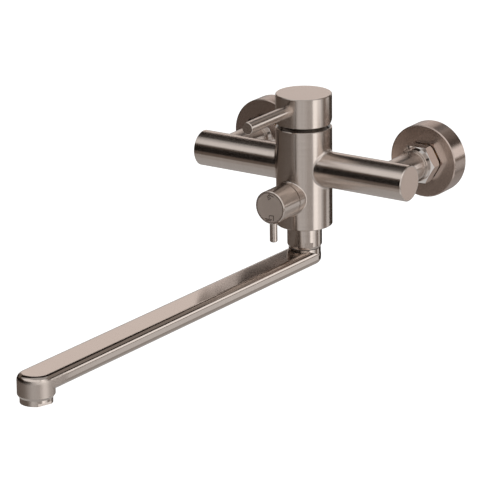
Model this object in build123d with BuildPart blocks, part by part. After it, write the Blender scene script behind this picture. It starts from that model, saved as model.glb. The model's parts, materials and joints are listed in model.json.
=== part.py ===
"""Wall mounted bath mixer: one lever, a shower diverter knob and a long swinging spout.

Sizes are in millimetres. The origin is on the wall, midway between the two water pipes.
+X is to the right as seen from the room, +Y goes into the wall and +Z is up.
"""

from build123d import *
from math import cos, hypot, radians, sin, sqrt, tan
import os

# Clearances between pieces
push_gap = 0.05  # pieces that are pressed or screwed together
run_gap = 0.05  # a shaft in its bore, on the radius
slide_gap = 0.2  # guided sliding faces
free_gap = 0.3  # faces that pass each other
knob_gap = 0.4  # visible seam behind the diverter knob
disc_gap = 0.02  # lapped ceramic faces

# Wall pipes, eccentric unions and cover flanges
inlet_spacing = 150.0  # standard pipe centres
pipe_thread_r = 10.48  # G 1/2 outside thread
union_thread_r = 13.22  # G 3/4 outside thread
hose_thread_r = 9.32  # G 1/2 inside thread
pipe_thread_length = 16.0
pipe_bore_r = 6.5
eccentric_offset = 8.0  # mixer axis above the wall pipes
eccentric_neck = 3.0
eccentric_plate = 6.0
eccentric_plate_rim = 1.5
eccentric_length = 25.0  # wall to the sealing end
union_bore_r = 8.0
flange_r = 29.5
flange_depth = 17.0
flange_wall = 1.4
flange_edge = 0.8

# Union nuts and rubber washers
nut_across_flats = 29.0
nut_hex_length = 10.0
nut_chamfer = 1.3
nut_nose_r = 13.3
nut_lip = 2.2
nut_stand_off = 1.4  # flange face to nut
washer_thickness = 2.6

# Mixer body
wall_to_axis = 74.5
barrel_r = 22.4
barrel_above = 32.2  # bar axis to the top of the barrel
barrel_below = 48.2  # bar axis to the bottom of the barrel
barrel_edge = 0.5
bar_r = 14.35
bar_half_length = 96.8
bar_bore_r = 11.0
bar_edge = 0.6
bar_blend = 2.5
bar_neck = 3.6  # barrel to the weld of the bar
plug_wall = 1.2
plug_share = 0.4  # of the bar beyond the inlet stub
stub_r = 11.8
stub_shoulder_r = 12.8
stub_shoulder = 2.0
stub_bore_r = 8.0
stub_sink = 1.7  # past the bar's saddle

# Mixing cartridge
cartridge_r = 17.5
cartridge_wall = 1.5
cartridge_thread_step = 1.6  # clamp ring thread outside the cartridge
port_r = 3.2
inlet_port_x = 6.5
inlet_port_y = 3.5
outlet_port_y = -8.0
channel_drop = 5.5  # cartridge seat to the inlet channels
port_seal_wall = 1.1
port_seal_height = 1.5
base_height = 4.0
base_rim = 2.0
fixed_disc_r = 13.5
moving_disc_r = 11.5
disc_thickness = 3.0
mixing_pocket = 1.4
carrier_height = 3.5
carrier_half_width = 9.6
stem_ball_r = 2.0
stem_finger_r = 1.4
stem_arm = 7.5  # pivot to the ball
stem_width = 7.0
stem_root = 3.0  # square part below the pivot
stem_grip = 11.0  # square part inside the handle cap
pivot_pin_r = 2.0
rotor_shoulder = 3.2  # above the pivot
rotor_neck_r = 10.4
rotor_neck_rise = 2.0
housing_roof = 2.5
clamp_ring_height = 4.5
clamp_ring_bore_r = 13.5
clamp_ring_slot = 3.0
clamp_slot_depth = 1.5
dome_skirt = 2.4
dome_wall = 1.8
dome_step = 0.9  # dome inside the barrel's edge
dome_gap = 0.4  # dome to the inside of the cap
lift_angle = 20.0

# Handle
cap_gap = 3.0
cap_crown = 14.57  # above the hollow for the dome
cap_edge = 0.6
cap_relief_start = 1.0  # behind the barrel axis
cap_relief_extra = 1.0  # degrees more than the lift
lever_r = 4.85
lever_reach = 80.2  # barrel axis to the tip
lever_rise = 4.87  # above the hollow for the dome
lever_edge = 0.5
lever_seat = 1.8  # sunk into the cap
lever_spigot_r = 3.0
grub_screw_length = 7.0
grub_gap = 0.6  # to the lever's spigot in front of it
grub_socket_r = 1.5
grub_socket = 3.0

# Shower diverter
diverter_drop = 22.2  # below the bar axis
knob_r = 13.4
boss_reach = 26.4  # barrel axis to the boss face
boss_blend = 1.2
knob_length = 23.3
knob_edge = 0.7
diverter_seat = -2.0  # in front of the barrel axis
valve_r = 9.5
valve_wall = 1.9
valve_flange_r = 11.0
valve_flange = 2.4
valve_neck_r = 6.0
valve_neck = 6.6
valve_cavity = 19.0
valve_window = 7.0
valve_ring_section_r = 0.6
valve_ring_reach = 20.0  # in front of the barrel axis
selector_port_r = 2.6
selector_port_offset = 4.4
selector_disc = 2.2
drive_key_width = 2.4
drive_key_depth = 1.2
drive_plate = 2.0
spindle_r = 3.55
spindle_square = 5.0
spindle_ring_groove = 1.2
knob_web = 1.4
knob_screw_r = 1.95
knob_screw_head_r = 3.6
knob_screw_head = 2.3
knob_screw_grip = 6.5
index_disc_wall = 1.7
index_disc_thickness = 1.2
diverter_pin_r = 3.05
diverter_pin_length = 29.1  # knob axis to the tip
diverter_pin_reach = 45.0  # in front of the barrel axis
diverter_pin_seat = 0.8
diverter_pin_spigot_r = 1.95
diverter_pin_spigot = 4.0
diverter_pin_edge = 0.6
spout_passage_r = 2.8
spout_passage_wall = 0.8  # behind the valve's seat
hose_thread_depth = 11.0
hose_face = 20.0  # barrel axis to the flat behind the barrel
hose_face_r = 11.5

# Spout joint
collar_r = 13.95
collar_length = 18.8
collar_edge = 1.1
collar_flats = 27.0
collar_flat_height = 6.0
collar_flat_turn = 47.0  # degrees from the front towards +X
bushing_thread_r = 12.0
bushing_thread_length = 11.0
gasket_thickness = 1.0
gasket_bore_r = 8.0
spigot_r = 10.0
spigot_bore_r = 7.0
spigot_top_gap = 1.2
spigot_ring_section_r = 0.75
spigot_ring_upper = 5.0  # below the spigot's top
spigot_ring_lower = 10.5
lock_groove_depth = 1.4
lock_screw_r = 2.45
lock_screw_drop = 9.4  # below the barrel
slip_ring_thickness = 0.5
slip_ring_width = 2.3

# Spout
spout_reach = 350.0
spout_rise = 1.18  # degrees
spout_root_r = 13.15
spout_tip_r = 13.7
spout_height = 12.7
spout_edge = 5.0
spout_wall = 1.5
spout_neck_r = 12.9
spout_neck = 1.2
spout_socket_wall = 2.2
spout_socket = 6.0
nozzle_drop = 4.7
nozzle_chamfer_height = 2.0
nozzle_chamfer_width = 1.3
nozzle_thread_depth = 4.5
nozzle_bore_r = 9.3

# Aerator
aerator_thread_r = 11.0
aerator_r = 11.9
aerator_height = 4.4
aerator_flats = 21.0
aerator_flat_height = 2.3
aerator_flat_turn = 72.0  # degrees from the front towards +X
aerator_wall = 1.2
aerator_lip = 0.6
aerator_gasket = 1.0
insert_height = 6.0
insert_hole_r = 0.75
insert_pitch = 2.3

# Levels worked out from the sizes above
bar_z = eccentric_offset
barrel_top = bar_z + barrel_above
barrel_bottom = bar_z - barrel_below
housing_top = barrel_top - dome_skirt - free_gap - clamp_ring_height
housing_roof_z = housing_top - housing_roof
rotor_shoulder_z = housing_roof_z - free_gap
pivot_z = rotor_shoulder_z - rotor_shoulder
ball_z = pivot_z - stem_arm
moving_disc_top = ball_z - stem_ball_r - free_gap
carrier_top = moving_disc_top + carrier_height
rotor_bottom = carrier_top + free_gap
fixed_disc_top = moving_disc_top - disc_thickness - disc_gap
base_top = fixed_disc_top - disc_thickness
seat_z = base_top - base_height
channel_z = seat_z - channel_drop
cap_bottom = barrel_top + cap_gap
dome_base_r = barrel_r - dome_step
dome_r = hypot(dome_base_r, barrel_top - pivot_z)
cap_ceiling = pivot_z + dome_r + dome_gap
cap_top = cap_ceiling + cap_crown
lever_z = cap_ceiling + lever_rise
cap_cavity_r = sqrt((dome_r + dome_gap) ** 2 - (cap_bottom - pivot_z) ** 2)
dome_hole_r = dome_r * sin(radians(lift_angle)) + stem_width
diverter_z = bar_z - diverter_drop
collar_bottom = barrel_bottom - collar_length
neck_top = collar_bottom - slip_ring_thickness - 2 * push_gap
arm_z = neck_top - spout_neck - spout_height / 2

# Distances from the wall along one inlet
nut_back = flange_depth + nut_stand_off
nut_hex_front = nut_back + nut_hex_length
washer_front = eccentric_length + washer_thickness
shoulder_front = washer_front + stub_shoulder
nut_seat = shoulder_front + push_gap
nut_front = nut_seat + nut_lip

# Distances in front of the barrel axis along the diverter
knob_back = boss_reach + knob_gap
knob_front = knob_back + knob_length
valve_front = boss_reach + valve_flange + valve_neck
selector_face = diverter_seat + selector_disc
key_face = selector_face + disc_gap + selector_disc
spindle_front = knob_front - index_disc_thickness - knob_screw_head - free_gap - knob_web

# Frames whose first axis is a turning axis and whose second is the radius
barrel_frame = Plane(origin=(0, -wall_to_axis, 0), x_dir=(0, 0, 1), z_dir=(-1, 0, 0))
bar_frame = Plane(origin=(0, -wall_to_axis, bar_z), x_dir=(1, 0, 0), z_dir=(0, -1, 0))
diverter_frame = Plane(origin=(0, -wall_to_axis, diverter_z), x_dir=(0, -1, 0), z_dir=(-1, 0, 0))
lever_frame = Plane(origin=(0, -wall_to_axis, lever_z), x_dir=(0, -1, 0), z_dir=(-1, 0, 0))
pivot_frame = Plane(origin=(0, -wall_to_axis, pivot_z), x_dir=(1, 0, 0), z_dir=(0, -1, 0))
pin_frame = Plane(
    origin=(0, -wall_to_axis - diverter_pin_reach, diverter_z), x_dir=(0, 0, -1), z_dir=(0, -1, 0)
)
lock_frame = Plane(
    origin=(0, -wall_to_axis, barrel_bottom - lock_screw_drop), x_dir=(0, 1, 0), z_dir=(1, 0, 0)
)
arm_plane = Plane(
    origin=(0, -wall_to_axis, arm_z),
    x_dir=(1, 0, 0),
    z_dir=(0, sin(radians(spout_rise)), cos(radians(spout_rise))),
)
tip_plane = Plane(
    origin=arm_plane.from_local_coords((0, -spout_reach, 0)), x_dir=arm_plane.x_dir, z_dir=arm_plane.z_dir
)
tip_frame = Plane(origin=tip_plane.origin, x_dir=-tip_plane.z_dir, z_dir=tip_plane.y_dir)


def inlet_frame(side):
    """Frame of one inlet, measured from the wall towards the room."""
    return Plane(origin=(side * inlet_spacing / 2, 0, bar_z), x_dir=(0, -1, 0), z_dir=(-1, 0, 0))


def level(z):
    """Horizontal plane centred on the barrel axis."""
    return Plane(origin=(0, -wall_to_axis, z))


def upright(reach, z):
    """Upright plane facing the room, this far in front of the barrel axis."""
    return Plane(origin=(0, -wall_to_axis - reach, z), x_dir=(1, 0, 0), z_dir=(0, -1, 0))


def rod(start, end, radius, edge=0.0):
    """Outline of a rod along a turning axis, with its edges broken if edge is given."""
    if edge == 0:
        return (start, 0), (start, radius), (end, radius), (end, 0)
    return (
        (start, 0),
        (start, radius - edge),
        (start + edge, radius),
        (end - edge, radius),
        (end, radius - edge),
        (end, 0),
    )


def tube(start, end, outer, inner):
    """Outline of a plain tube along a turning axis."""
    return (start, inner), (start, outer), (end, outer), (end, inner)


def turned(frame, outline, mode=Mode.ADD):
    """Turn an outline about the first axis of a frame."""
    with BuildSketch(frame) as profile:
        with BuildLine():
            Polyline(*outline, close=True)
        make_face()
    revolve(profile.sketch, axis=Axis(frame.origin, frame.x_dir), mode=mode)


def o_ring(frame, place, middle_r, section_r):
    """Rubber ring around the first axis of a frame, at its fitted section."""
    with BuildSketch(frame) as profile:
        with Locations((place, middle_r)):
            Circle(section_r)
    revolve(profile.sketch, axis=Axis(frame.origin, frame.x_dir))


def save(piece, label):
    """Name a finished piece and write it."""
    piece.label = label
    export_step(piece, f"parts/{label}.step")


os.makedirs("parts", exist_ok=True)

# Mixer body: barrel with a neck for each bar and a boss for the diverter, its chambers and waterways
chamber_r = cartridge_r + push_gap
clamp_thread_r = cartridge_r + cartridge_thread_step
bar_bore_end = clamp_thread_r + cartridge_wall
neck_end = barrel_r + bar_neck
bushing_socket = barrel_bottom + bushing_thread_length + gasket_thickness
spout_passage_reach = spout_passage_wall + spout_passage_r - diverter_seat
hose_thread_end = hose_face - hose_thread_depth

with BuildPart() as mixer_body:
    turned(barrel_frame, rod(barrel_bottom, barrel_top, barrel_r, barrel_edge))
    turned(bar_frame, rod(-neck_end, neck_end, bar_r))
    fillet(mixer_body.edges(Select.NEW), bar_blend)
    turned(diverter_frame, rod(0, boss_reach, knob_r))
    fillet(mixer_body.edges(Select.NEW), boss_blend)
    for side in (-1, 1):
        turned(bar_frame, rod(side * bar_bore_end, side * neck_end, bar_bore_r), Mode.SUBTRACT)
        with BuildSketch(Plane.YZ.offset(side * inlet_port_x)):
            with Locations((inlet_port_y - wall_to_axis, channel_z)):
                Circle(port_r)
        extrude(amount=side * bar_bore_end, mode=Mode.SUBTRACT)
    turned(barrel_frame, rod(seat_z, barrel_top, chamber_r), Mode.SUBTRACT)
    turned(barrel_frame, rod(housing_top, barrel_top, clamp_thread_r), Mode.SUBTRACT)
    with BuildSketch(level(seat_z)):
        with Locations((inlet_port_x, inlet_port_y), (-inlet_port_x, inlet_port_y)):
            Circle(port_r)
    extrude(amount=-channel_drop, mode=Mode.SUBTRACT)
    with BuildSketch(level(seat_z)):
        with Locations((0, outlet_port_y)):
            Circle(port_r)
    extrude(amount=diverter_z - seat_z, mode=Mode.SUBTRACT)
    turned(diverter_frame, rod(diverter_seat, boss_reach, valve_r + push_gap), Mode.SUBTRACT)
    turned(diverter_frame, rod(-hose_face, -hose_thread_end, hose_thread_r), Mode.SUBTRACT)
    turned(diverter_frame, rod(-hose_face, -barrel_r, hose_face_r), Mode.SUBTRACT)
    with BuildSketch(upright(diverter_seat, diverter_z)):
        with Locations((0, selector_port_offset)):
            Circle(selector_port_r)
    extrude(amount=-hose_thread_end, mode=Mode.SUBTRACT)
    with BuildSketch(upright(diverter_seat, diverter_z)):
        with Locations((0, -selector_port_offset)):
            Circle(selector_port_r)
    extrude(amount=-spout_passage_wall - spout_passage_r, mode=Mode.SUBTRACT)
    with BuildSketch(level(bushing_socket)):
        with Locations((0, spout_passage_reach)):
            Circle(spout_passage_r)
    extrude(amount=diverter_z - selector_port_offset - bushing_socket, mode=Mode.SUBTRACT)
    turned(barrel_frame, rod(barrel_bottom, bushing_socket, bushing_thread_r), Mode.SUBTRACT)
save(mixer_body.part, "mixer_body")

# Bars welded to the necks, each with a plug in its end and an inlet stub set into its side
plug_r = bar_r - plug_wall
plug_thickness = plug_share * (bar_half_length - inlet_spacing / 2 - stub_r)
plug_seat = bar_half_length - plug_thickness
stub_end = wall_to_axis - sqrt(bar_r**2 - stub_r**2) + stub_sink
for side, side_name in ((-1, "left"), (1, "right")):
    with BuildPart() as bar:
        turned(
            bar_frame,
            (
                (side * neck_end, bar_bore_r),
                (side * neck_end, bar_r),
                (side * (bar_half_length - bar_edge), bar_r),
                (side * bar_half_length, bar_r - bar_edge),
                (side * bar_half_length, bar_bore_r),
            ),
        )
        turned(bar_frame, rod(side * plug_seat, side * bar_half_length, plug_r), Mode.SUBTRACT)
        turned(inlet_frame(side), rod(washer_front, stub_end, stub_r + push_gap), Mode.SUBTRACT)
    save(bar.part, f"bar_{side_name}")

    with BuildPart() as bar_plug:
        turned(bar_frame, rod(side * plug_seat, side * bar_half_length, plug_r - push_gap))
    save(bar_plug.part, f"bar_end_plug_{side_name}")

    with BuildPart() as inlet_stub:
        turned(inlet_frame(side), tube(washer_front, shoulder_front, stub_shoulder_r, stub_bore_r))
        turned(inlet_frame(side), tube(shoulder_front, stub_end, stub_r, stub_bore_r))
    save(inlet_stub.part, f"inlet_stub_{side_name}")

# Wall side pieces, one of each per inlet
hex_corner_r = nut_across_flats / sqrt(3)
for side, side_name in ((-1, "left"), (1, "right")):
    frame = inlet_frame(side)
    pipe_frame = Plane(origin=(side * inlet_spacing / 2, 0, 0), x_dir=frame.x_dir, z_dir=frame.z_dir)
    wall_plane = Plane(origin=pipe_frame.origin, x_dir=(1, 0, 0), z_dir=(0, -1, 0))
    plate_end = eccentric_neck + eccentric_plate
    plate_middle = eccentric_neck + eccentric_plate / 2
    pipe_reach = plate_end - eccentric_plate_rim

    with BuildPart() as eccentric:
        turned(pipe_frame, rod(-pipe_thread_length, eccentric_neck, pipe_thread_r))
        with BuildSketch(wall_plane.offset(eccentric_neck)):
            Circle(pipe_thread_r + eccentric_plate_rim)
            with Locations((0, eccentric_offset)):
                Circle(union_thread_r)
            make_hull()
        extrude(amount=eccentric_plate)
        turned(frame, rod(plate_end, eccentric_length, union_thread_r))
        turned(pipe_frame, rod(-pipe_thread_length, pipe_reach, pipe_bore_r), Mode.SUBTRACT)
        turned(frame, rod(plate_middle, eccentric_length, union_bore_r), Mode.SUBTRACT)
    save(eccentric.part, f"eccentric_union_{side_name}")

    flange_hole_r = union_thread_r + push_gap
    with BuildPart() as wall_flange:
        turned(
            frame,
            (
                (0, flange_r - flange_wall),
                (0, flange_r),
                (flange_depth - flange_edge, flange_r),
                (flange_depth, flange_r - flange_edge),
                (flange_depth, flange_hole_r),
                (flange_depth - flange_wall, flange_hole_r),
                (flange_depth - flange_wall, flange_r - flange_wall),
            ),
        )
    save(wall_flange.part, f"wall_flange_{side_name}")

    with BuildPart() as union_nut:
        with BuildSketch(wall_plane.offset(nut_back)):
            with Locations((0, eccentric_offset)):
                RegularPolygon(hex_corner_r, side_count=6)
        extrude(amount=nut_front - nut_back)
        turned(
            frame,
            (
                (nut_back, 0),
                (nut_back, hex_corner_r - nut_chamfer),
                (nut_back + nut_chamfer, hex_corner_r),
                (nut_hex_front - nut_chamfer, hex_corner_r),
                (nut_hex_front, hex_corner_r - 2 * nut_chamfer),
                (nut_front, nut_nose_r),
                (nut_front, 0),
            ),
            Mode.INTERSECT,
        )
        turned(frame, rod(nut_back, nut_seat, union_thread_r + push_gap), Mode.SUBTRACT)
        turned(frame, rod(nut_back, nut_front, stub_r + slide_gap), Mode.SUBTRACT)
    save(union_nut.part, f"union_nut_{side_name}")

    with BuildPart() as inlet_washer:
        turned(
            frame,
            tube(eccentric_length, washer_front, stub_shoulder_r, union_bore_r),
        )
    save(inlet_washer.part, f"inlet_washer_{side_name}")

# Mixing cartridge: base with its port seals, housing and the fixed ceramic disc
port_places = {
    "hot": (-inlet_port_x, inlet_port_y),
    "cold": (inlet_port_x, inlet_port_y),
    "outlet": (0, outlet_port_y),
}
all_ports = tuple(port_places.values())
seal_r = port_r + port_seal_wall
housing_bore_r = cartridge_r - cartridge_wall

with BuildPart() as cartridge_base:
    turned(barrel_frame, rod(seat_z, base_top, cartridge_r))
    turned(
        barrel_frame,
        tube(base_top, base_top + base_rim, housing_bore_r - push_gap, fixed_disc_r + push_gap),
    )
    with BuildSketch(level(seat_z)):
        with Locations(*all_ports):
            Circle(port_r)
    extrude(amount=base_height, mode=Mode.SUBTRACT)
    with BuildSketch(level(seat_z)):
        with Locations(*all_ports):
            Circle(seal_r)
    extrude(amount=port_seal_height, mode=Mode.SUBTRACT)
save(cartridge_base.part, "cartridge_base")

for port_name, place in port_places.items():
    with BuildPart() as port_seal:
        with BuildSketch(level(seat_z)):
            with Locations(place):
                Circle(seal_r - push_gap)
                Circle(port_r, mode=Mode.SUBTRACT)
        extrude(amount=port_seal_height)
    save(port_seal.part, f"{port_name}_port_seal")

with BuildPart() as cartridge_housing:
    turned(barrel_frame, rod(base_top, housing_top, cartridge_r))
    turned(barrel_frame, rod(base_top, housing_roof_z, housing_bore_r), Mode.SUBTRACT)
    turned(barrel_frame, rod(base_top, housing_top, rotor_neck_r + run_gap), Mode.SUBTRACT)
save(cartridge_housing.part, "cartridge_housing")

with BuildPart() as fixed_disc:
    turned(barrel_frame, rod(base_top, fixed_disc_top, fixed_disc_r))
    with BuildSketch(level(base_top)):
        with Locations(*all_ports):
            Circle(port_r)
    extrude(amount=disc_thickness, mode=Mode.SUBTRACT)
save(fixed_disc.part, "fixed_ceramic_disc")

# Mixing disc and its carrier, which slide under the rotor
moving_disc_bottom = moving_disc_top - disc_thickness
with BuildPart() as moving_disc:
    turned(barrel_frame, rod(moving_disc_bottom, moving_disc_top, moving_disc_r))
    with BuildSketch(level(moving_disc_bottom)):
        Ellipse(inlet_port_x + port_r, moving_disc_r - port_r)
    extrude(amount=mixing_pocket, mode=Mode.SUBTRACT)
save(moving_disc.part, "moving_ceramic_disc")

with BuildPart() as disc_carrier:
    with BuildSketch(level(moving_disc_top)):
        Circle(moving_disc_r)
        Rectangle(2 * carrier_half_width, 2 * moving_disc_r, mode=Mode.INTERSECT)
        Circle(stem_ball_r + slide_gap, mode=Mode.SUBTRACT)
    extrude(amount=carrier_height)
save(disc_carrier.part, "disc_carrier")

# Rotor that turns with the lever, with two cheeks that guide the carrier and a slot for the stem
rotor_r = housing_bore_r - free_gap
rotor_neck_top = housing_top + rotor_neck_rise
lift_slope = tan(radians(lift_angle))
stem_lean = stem_width / 2 / cos(radians(lift_angle))
slot_back = (rotor_neck_top - pivot_z) * lift_slope + stem_lean + free_gap
slot_front = stem_root * lift_slope + stem_lean + free_gap
with BuildPart() as cartridge_rotor:
    turned(barrel_frame, rod(moving_disc_top + free_gap, rotor_shoulder_z, rotor_r))
    turned(barrel_frame, rod(rotor_shoulder_z, rotor_neck_top, rotor_neck_r))
    with BuildSketch(level(moving_disc_top)):
        Rectangle(2 * (carrier_half_width + slide_gap), 2 * rotor_r)
    extrude(amount=rotor_bottom - moving_disc_top, mode=Mode.SUBTRACT)
    with BuildSketch(level(moving_disc_top)):
        with Locations((0, (slot_back - slot_front) / 2)):
            Rectangle(stem_width + 2 * slide_gap, slot_back + slot_front)
    extrude(amount=rotor_neck_top - moving_disc_top, mode=Mode.SUBTRACT)
    turned(pivot_frame, rod(-rotor_r, rotor_r, pivot_pin_r + push_gap), Mode.SUBTRACT)
save(cartridge_rotor.part, "cartridge_rotor")

pivot_pin_half = rotor_r * cos(radians(lift_angle))
with BuildPart() as pivot_pin:
    turned(pivot_frame, rod(-pivot_pin_half, pivot_pin_half, pivot_pin_r))
save(pivot_pin.part, "stem_pivot_pin")

# Stem: square rod that tilts on the pivot pin, with a ball below that pushes the carrier
stem_top = cap_ceiling + stem_grip
with BuildPart() as cartridge_stem:
    with BuildSketch(level(pivot_z - stem_root)):
        Rectangle(stem_width, stem_width)
    extrude(amount=stem_top - pivot_z + stem_root)
    turned(barrel_frame, rod(ball_z, pivot_z - stem_root, stem_finger_r))
    with Locations((0, -wall_to_axis, ball_z)):
        Sphere(stem_ball_r)
    turned(pivot_frame, rod(-stem_width, stem_width, pivot_pin_r + run_gap), Mode.SUBTRACT)
save(cartridge_stem.part, "cartridge_stem")

# Brass ring that clamps the cartridge, with four slots for its key
clamp_top = housing_top + clamp_ring_height
with BuildPart() as clamp_ring:
    turned(barrel_frame, tube(housing_top, clamp_top, clamp_thread_r - push_gap, clamp_ring_bore_r))
    with BuildSketch(level(clamp_top)):
        Rectangle(clamp_ring_slot, 2 * clamp_thread_r)
        Rectangle(2 * clamp_thread_r, clamp_ring_slot)
    extrude(amount=-clamp_slot_depth, mode=Mode.SUBTRACT)
save(clamp_ring.part, "cartridge_clamp_ring")

# Polished dome that shows between the barrel and the handle cap, round the stem's pivot
skirt_r = clamp_thread_r - push_gap
skirt_bottom = barrel_top - dome_skirt
dome_hole_z = pivot_z + sqrt(dome_r**2 - dome_hole_r**2)
dome_inner_r = skirt_r - dome_wall
with BuildPart() as dome_ring:
    with BuildSketch(barrel_frame) as dome_profile:
        with BuildLine():
            Polyline(
                (dome_hole_z, dome_hole_r),
                (dome_hole_z - dome_wall, dome_hole_r),
                (barrel_top, dome_inner_r),
                (skirt_bottom, dome_inner_r),
                (skirt_bottom, skirt_r),
                (barrel_top, skirt_r),
                (barrel_top, dome_base_r),
            )
            RadiusArc((barrel_top, dome_base_r), (dome_hole_z, dome_hole_r), -dome_r)
        make_face()
    revolve(axis=Axis(barrel_frame.origin, barrel_frame.x_dir))
save(dome_ring.part, "dome_ring")

# Handle cap, cut back behind so that it can tilt, with a socket for the stem and a seat for the lever
lever_root = barrel_r - lever_seat
grub_back = stem_width / 2
grub_front = grub_back + grub_screw_length
lever_spigot = lever_root - grub_front - grub_gap
relief_back = barrel_r + cap_gap
relief_top = cap_bottom + (relief_back - cap_relief_start) * tan(radians(lift_angle + cap_relief_extra))
with BuildPart() as handle_cap:
    turned(barrel_frame, rod(cap_bottom, cap_top, barrel_r, cap_edge))
    turned(barrel_frame, rod(cap_bottom, cap_ceiling, cap_cavity_r), Mode.SUBTRACT)
    with BuildSketch(level(cap_ceiling)):
        Rectangle(stem_width + 2 * push_gap, stem_width + 2 * push_gap)
    extrude(amount=stem_grip + free_gap, mode=Mode.SUBTRACT)
    turned(lever_frame, rod(lever_root, barrel_r, lever_r + push_gap), Mode.SUBTRACT)
    turned(lever_frame, rod(0, barrel_r, lever_spigot_r + push_gap), Mode.SUBTRACT)
    with BuildSketch(Plane(origin=(-barrel_r, -wall_to_axis, 0), x_dir=(0, 1, 0), z_dir=(1, 0, 0))):
        with BuildLine():
            Polyline(
                (cap_relief_start, cap_bottom),
                (relief_back, cap_bottom),
                (relief_back, relief_top),
                close=True,
            )
        make_face()
    extrude(amount=2 * barrel_r, mode=Mode.SUBTRACT)
save(handle_cap.part, "handle_cap")

with BuildPart() as lever_rod:
    turned(
        lever_frame,
        (
            (lever_root - lever_spigot, 0),
            (lever_root - lever_spigot, lever_spigot_r),
            (lever_root, lever_spigot_r),
            (lever_root, lever_r),
            (lever_reach - lever_edge, lever_r),
            (lever_reach, lever_r - lever_edge),
            (lever_reach, 0),
        ),
    )
save(lever_rod.part, "lever_rod")

with BuildPart() as handle_screw:
    turned(lever_frame, rod(grub_back, grub_front, lever_spigot_r))
    with BuildSketch(upright(grub_front, lever_z)):
        RegularPolygon(grub_socket_r, side_count=6)
    extrude(amount=-grub_socket, mode=Mode.SUBTRACT)
save(handle_screw.part, "handle_grub_screw")

# Diverter valve: brass body screwed into the boss, with a window for the mixed water
valve_bore_r = valve_r - valve_wall
window_middle = -outlet_port_y
cavity_front = diverter_seat + valve_cavity
ring_middle_r = valve_r - valve_ring_section_r
valve_ring_groove_r = valve_r - 2 * valve_ring_section_r - push_gap
with BuildPart() as diverter_valve:
    turned(diverter_frame, rod(diverter_seat, boss_reach, valve_r))
    turned(diverter_frame, rod(boss_reach, boss_reach + valve_flange, valve_flange_r))
    turned(diverter_frame, rod(boss_reach + valve_flange, valve_front, valve_neck_r))
    turned(diverter_frame, rod(diverter_seat, cavity_front, valve_bore_r), Mode.SUBTRACT)
    turned(diverter_frame, rod(diverter_seat, valve_front, spindle_r + run_gap), Mode.SUBTRACT)
    with BuildSketch(Plane(origin=(0, -wall_to_axis - window_middle, diverter_z))):
        Rectangle(valve_window, 2 * port_r)
    extrude(amount=valve_r, mode=Mode.SUBTRACT)
    turned(
        diverter_frame,
        tube(
            valve_ring_reach - valve_ring_section_r - push_gap,
            valve_ring_reach + valve_ring_section_r + push_gap,
            valve_r,
            valve_ring_groove_r,
        ),
        Mode.SUBTRACT,
    )
save(diverter_valve.part, "diverter_valve_body")

with BuildPart() as valve_ring:
    o_ring(diverter_frame, valve_ring_reach, ring_middle_r, valve_ring_section_r)
save(valve_ring.part, "diverter_body_o_ring")

selector_r = valve_bore_r - push_gap
selector_ports = ((0, selector_port_offset), (0, -selector_port_offset))
with BuildPart() as selector_seat:
    turned(diverter_frame, rod(diverter_seat, selector_face, selector_r))
    with BuildSketch(upright(diverter_seat, diverter_z)):
        with Locations(*selector_ports):
            Circle(selector_port_r)
    extrude(amount=selector_disc, mode=Mode.SUBTRACT)
save(selector_seat.part, "diverter_fixed_disc")

# Turning disc, driven by a key on the spindle, with its one port towards the spout
turning_disc_r = valve_bore_r - free_gap
turning_face = selector_face + disc_gap
key_half_height = sqrt(turning_disc_r**2 - (drive_key_width / 2) ** 2)
with BuildPart() as turning_disc:
    turned(diverter_frame, rod(turning_face, key_face, turning_disc_r))
    with BuildSketch(upright(turning_face, diverter_z)):
        with Locations((0, -selector_port_offset)):
            Circle(selector_port_r)
    extrude(amount=selector_disc, mode=Mode.SUBTRACT)
    with BuildSketch(upright(key_face, diverter_z)):
        Rectangle(2 * turning_disc_r, drive_key_width + 2 * push_gap)
    extrude(amount=-drive_key_depth - push_gap, mode=Mode.SUBTRACT)
save(turning_disc.part, "diverter_turning_disc")

# Spindle: key and plate behind, plain shaft with a seal ring, square end for the knob
plate_face = key_face + push_gap
plate_front = plate_face + drive_plate
spindle_ring_r = (spindle_ring_groove - push_gap) / 2
spindle_ring_middle_r = spindle_r - spindle_ring_r
with BuildPart() as diverter_spindle:
    turned(diverter_frame, rod(plate_face, plate_front, turning_disc_r))
    turned(diverter_frame, rod(plate_front, valve_front, spindle_r))
    with BuildSketch(upright(valve_front, diverter_z)):
        Rectangle(spindle_square, spindle_square)
    extrude(amount=spindle_front - valve_front)
    with BuildSketch(upright(plate_face, diverter_z)):
        Rectangle(2 * key_half_height, drive_key_width)
    extrude(amount=-drive_key_depth)
    with BuildSketch(upright(plate_face, diverter_z)):
        with Locations((0, -selector_port_offset)):
            Circle(selector_port_r)
    extrude(amount=drive_plate, mode=Mode.SUBTRACT)
    turned(
        diverter_frame,
        rod(spindle_front - knob_screw_grip - free_gap, spindle_front, knob_screw_r + push_gap),
        Mode.SUBTRACT,
    )
    turned(
        diverter_frame,
        tube(
            boss_reach - spindle_ring_r - push_gap,
            boss_reach + spindle_ring_r + push_gap,
            spindle_r,
            spindle_r - spindle_ring_groove,
        ),
        Mode.SUBTRACT,
    )
save(diverter_spindle.part, "diverter_spindle")

with BuildPart() as spindle_ring:
    o_ring(diverter_frame, boss_reach, spindle_ring_middle_r, spindle_ring_r)
save(spindle_ring.part, "diverter_spindle_o_ring")

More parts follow.
